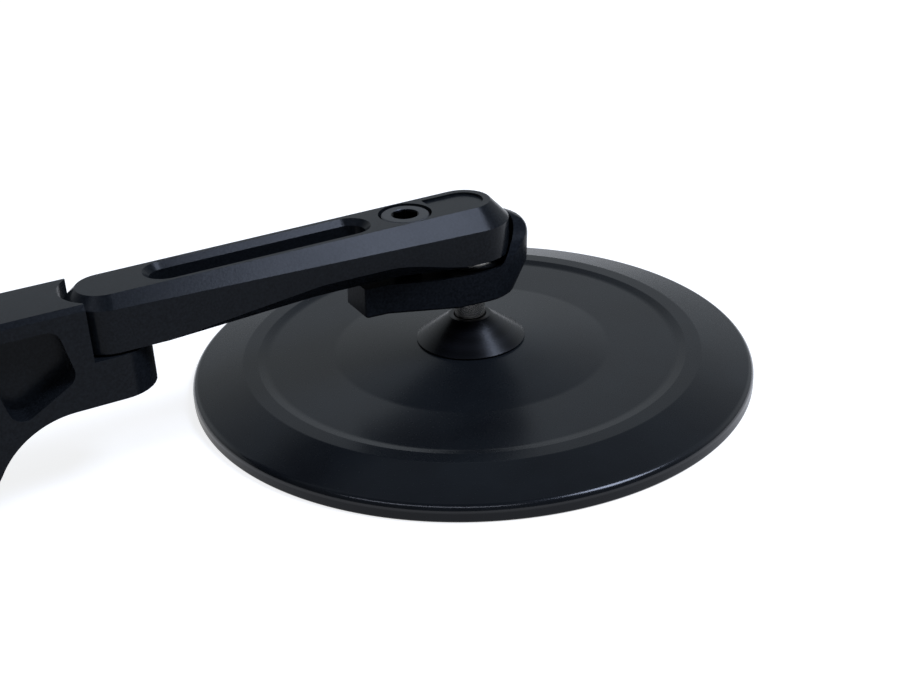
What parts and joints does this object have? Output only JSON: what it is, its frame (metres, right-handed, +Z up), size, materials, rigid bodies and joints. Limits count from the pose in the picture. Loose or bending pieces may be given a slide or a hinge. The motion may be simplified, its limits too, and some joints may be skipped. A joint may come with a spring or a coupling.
{
  "type": "bar-end mirror",
  "caption": "Round rear-view mirror for a handlebar end: dished black head on a clamped ball joint, slotted folding arm and a split ring clamp.",
  "frame": {"origin": "on the plane the rim lies on, under the middle of the whole object's length", "axes": "+X along the arm from the handlebar clamp to the mirror head, +Y along the handlebar, +Z up, from the mirror's face to its back"},
  "size_m": [0.1694, 0.098, 0.0317],
  "materials": {
    "black_anodised": "fine bead-blasted black anodising",
    "satin_black": "satin black coating on turned aluminium",
    "gloss_black": "glossy black anodising",
    "polished_steel": "polished",
    "blackened_steel": "black oxide",
    "mirror": "silvered glass",
    "foam": "adhesive foam",
    "nylon": "black nylon"
  },
  "bodies": {
    "bar_clamp": {"clamp_body": "black_anodised", "pinch_screw": "blackened_steel", "pivot_bush": "nylon", "thrust_washer": "nylon", "spring_washer": "polished_steel"},
    "arm": {"arm": "black_anodised", "pivot_screw": "blackened_steel"},
    "jaw_screw": {"jaw_screw": "blackened_steel"},
    "jaw": {"clamp_jaw": "black_anodised"},
    "ball": {"pivot_ball": "polished_steel"},
    "stud": {"stud": "polished_steel", "stud_nut": "blackened_steel"},
    "head": {"boss_cone": "gloss_black", "back_shell": "satin_black", "stud_washer": "polished_steel", "glass_pad": "foam", "mirror_glass": "mirror"}
  },
  "joints": [
    {"name": "arm_fold", "type": "hinge", "parent": "bar_clamp", "child": "arm", "pos_m": [-0.02615, 0, 0.0225], "axis": [0, 0, 1], "range_deg": [-60, 60]},
    {"name": "jaw_screw_turn", "type": "hinge", "parent": "arm", "child": "jaw_screw", "pos_m": [0.02415, 0, 0.0276], "axis": [0, 0, 1], "range_deg": [0, 360]},
    {"name": "jaw_open", "type": "slide", "parent": "arm", "child": "jaw", "axis": [0, 0, -1], "range_m": [0, 0.0008]},
    {"name": "ball_tip_along", "type": "hinge", "parent": "arm", "child": "ball", "pos_m": [0.03565, 0, 0.0222], "axis": [0, 1, 0], "range_deg": [-14, 14]},
    {"name": "ball_tip_across", "type": "hinge", "parent": "ball", "child": "stud", "pos_m": [0.03565, 0, 0.0222], "axis": [1, 0, 0], "range_deg": [-14, 14]},
    {"name": "head_turn", "type": "hinge", "parent": "stud", "child": "head", "pos_m": [0.03565, 0, 0.0222], "axis": [0, 0, 1], "continuous": true}
  ],
  "couplings": [
    {"joint": "jaw_screw_turn", "follows": "jaw_open", "rad_per_m": 7854}
  ]
}
